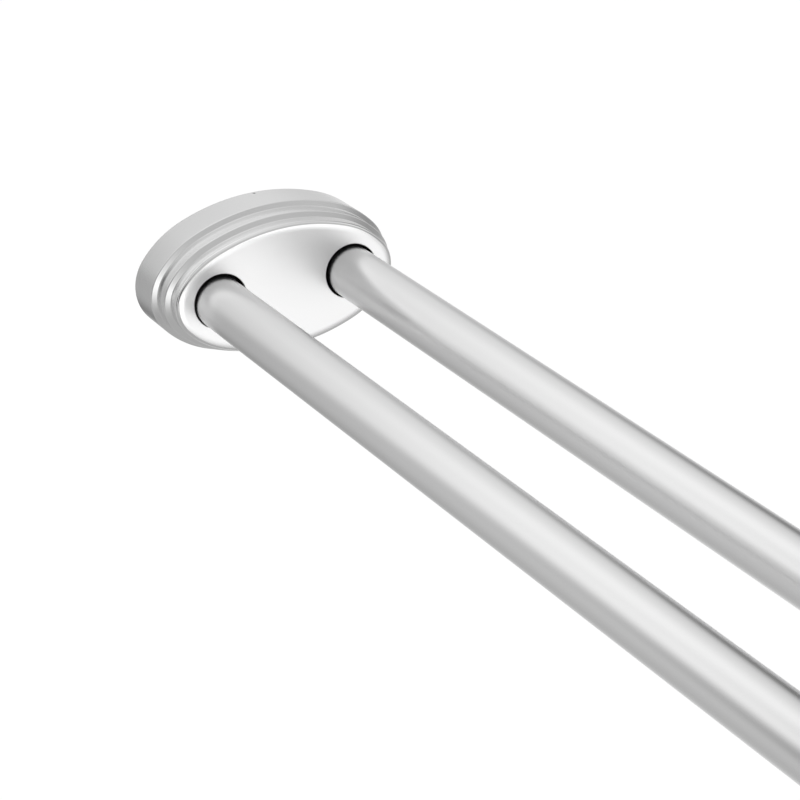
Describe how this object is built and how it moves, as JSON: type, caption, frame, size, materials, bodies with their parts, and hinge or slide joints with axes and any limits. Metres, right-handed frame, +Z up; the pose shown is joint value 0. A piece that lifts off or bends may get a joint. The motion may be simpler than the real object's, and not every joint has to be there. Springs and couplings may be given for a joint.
{
  "type": "straight double shower curtain rod",
  "caption": "Straight telescoping double shower curtain rod: parallel satin metal tubes between stepped oval end covers, pressed between facing walls by a twist-tight screw.",
  "frame": {"origin": "centre of the near pad's face, on the near wall, midway between the rods", "axes": "+X along the rods towards the far wall, +Y from the front rod to the rear rod, +Z up"},
  "size_m": [1.2192, 0.1256, 0.0732],
  "materials": {
    "rod_finish": "satin nickel",
    "cover_finish": "satin nickel",
    "base_plastic": "moulded",
    "pad_rubber": "matte",
    "fitting_plastic": "moulded",
    "nylon": "moulded",
    "spindle_steel": "zinc plated"
  },
  "bodies": {
    "left_end": {"left_base": "base_plastic", "left_pad": "pad_rubber"},
    "left_cover": {"left_cover": "cover_finish"},
    "right_end": {"right_base": "base_plastic", "right_pad": "pad_rubber", "front_inner_tube": "rod_finish", "front_inner_cap": "fitting_plastic", "front_nut": "nylon", "rear_inner_tube": "rod_finish", "rear_inner_cap": "fitting_plastic", "rear_nut": "nylon"},
    "right_cover": {"right_cover": "cover_finish"},
    "front_outer": {"front_outer_tube": "rod_finish", "front_end_plug": "fitting_plastic", "front_guide_sleeve": "fitting_plastic"},
    "front_spindle": {"front_spindle": "spindle_steel"},
    "front_cam": {"front_cam": "nylon"},
    "rear_outer": {"rear_outer_tube": "rod_finish", "rear_end_plug": "fitting_plastic", "rear_guide_sleeve": "fitting_plastic"},
    "rear_spindle": {"rear_spindle": "spindle_steel"},
    "rear_cam": {"rear_cam": "nylon"}
  },
  "joints": [
    {"name": "length_adjust", "type": "slide", "parent": "left_end", "child": "right_end", "axis": [1, 0, 0], "range_m": [-0.1016, 0.6096]},
    {"name": "left_cover_slide", "type": "slide", "parent": "left_end", "child": "left_cover", "axis": [1, 0, 0], "range_m": [0, 0.15]},
    {"name": "right_cover_slide", "type": "slide", "parent": "right_end", "child": "right_cover", "axis": [-1, 0, 0], "range_m": [0, 0.15]},
    {"name": "front_twist", "type": "hinge", "parent": "left_end", "child": "front_outer", "pos_m": [0.0062, -0.035, 0], "axis": [1, 0, 0], "continuous": true},
    {"name": "front_screw_turn", "type": "hinge", "parent": "right_end", "child": "front_spindle", "pos_m": [0.288, -0.035, 0], "axis": [1, 0, 0], "continuous": true},
    {"name": "front_cam_lock", "type": "hinge", "parent": "front_spindle", "child": "front_cam", "pos_m": [0.288, -0.035, 0.0012], "axis": [1, 0, 0], "range_deg": [0, 30]},
    {"name": "rear_twist", "type": "hinge", "parent": "left_end", "child": "rear_outer", "pos_m": [0.0062, 0.035, 0], "axis": [1, 0, 0], "continuous": true},
    {"name": "rear_screw_turn", "type": "hinge", "parent": "right_end", "child": "rear_spindle", "pos_m": [0.288, 0.035, 0], "axis": [1, 0, 0], "continuous": true},
    {"name": "rear_cam_lock", "type": "hinge", "parent": "rear_spindle", "child": "rear_cam", "pos_m": [0.288, 0.035, 0.0012], "axis": [1, 0, 0], "range_deg": [0, 30]}
  ],
  "couplings": [
    {"joint": "front_screw_turn", "follows": "front_twist", "ratio": 1},
    {"joint": "rear_screw_turn", "follows": "rear_twist", "ratio": 1}
  ]
}
